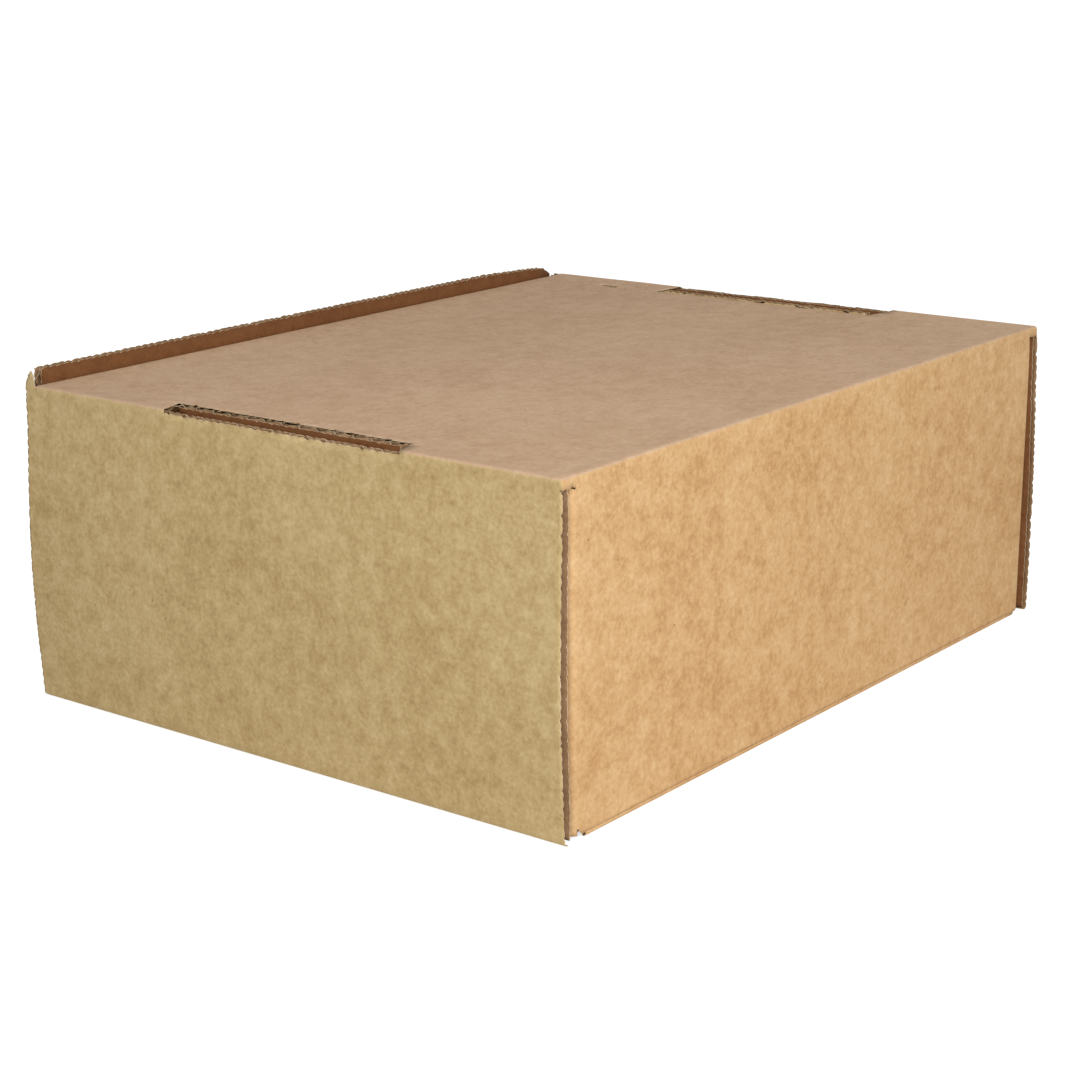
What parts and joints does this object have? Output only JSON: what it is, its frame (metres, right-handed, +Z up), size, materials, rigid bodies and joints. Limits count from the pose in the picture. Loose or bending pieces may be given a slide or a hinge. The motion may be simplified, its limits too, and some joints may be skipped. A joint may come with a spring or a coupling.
{
  "type": "roll-end mailer box, closed",
  "caption": "Closed corrugated mailer box with rolled end walls, locking tabs in the base slots and a hinged lid, resting lid down.",
  "frame": {"origin": "under the middle of the box, on the surface it rests on", "axes": "+X along the length, +Y from the hinged back wall to the closing flap, +Z up; the box lies on its lid with its base panel on top"},
  "size_m": [0.3112, 0.24, 0.1218],
  "materials": {
    "kraft_board": "uncoated brown kraft liner, matte"
  },
  "bodies": {
    "tray": {"tray": "kraft_board"},
    "lid": {"lid": "kraft_board"}
  },
  "joints": [
    {"name": "lid_hinge", "type": "hinge", "parent": "tray", "child": "lid", "pos_m": [0, -0.12, 0], "axis": [-1, 0, 0], "range_deg": [0, 180]}
  ]
}
